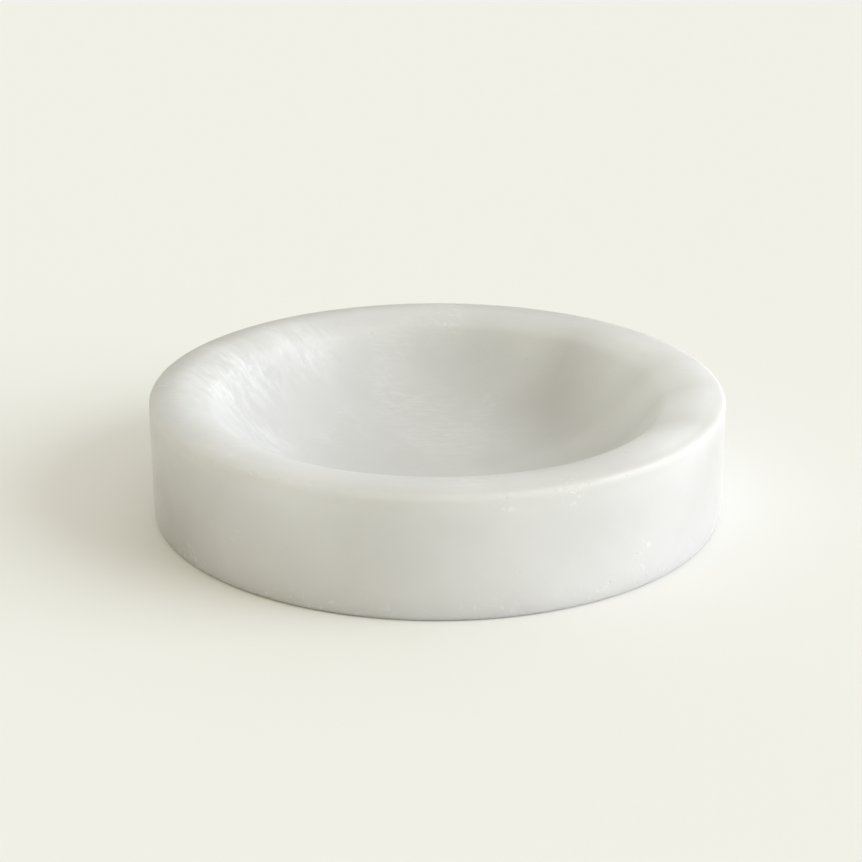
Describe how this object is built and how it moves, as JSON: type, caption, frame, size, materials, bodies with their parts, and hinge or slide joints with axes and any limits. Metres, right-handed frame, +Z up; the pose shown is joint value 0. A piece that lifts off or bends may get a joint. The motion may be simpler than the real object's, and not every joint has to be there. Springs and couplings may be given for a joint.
{
  "type": "shaving soap puck",
  "caption": "Round hard shaving soap puck: flat base, straight outer wall, crowned rim and a smooth dished hollow in the top where a wet brush is loaded.",
  "frame": {"origin": "centre of the flat base, on the surface the puck stands on", "axes": "+Z up along the puck's axis, out of the hollow; the puck is round, so +X and +Y are alike"},
  "size_m": [0.08, 0.08, 0.0173],
  "materials": {
    "milky_soap": "satin"
  },
  "bodies": {
    "root": {"soap_puck": "milky_soap"}
  },
  "joints": []
}
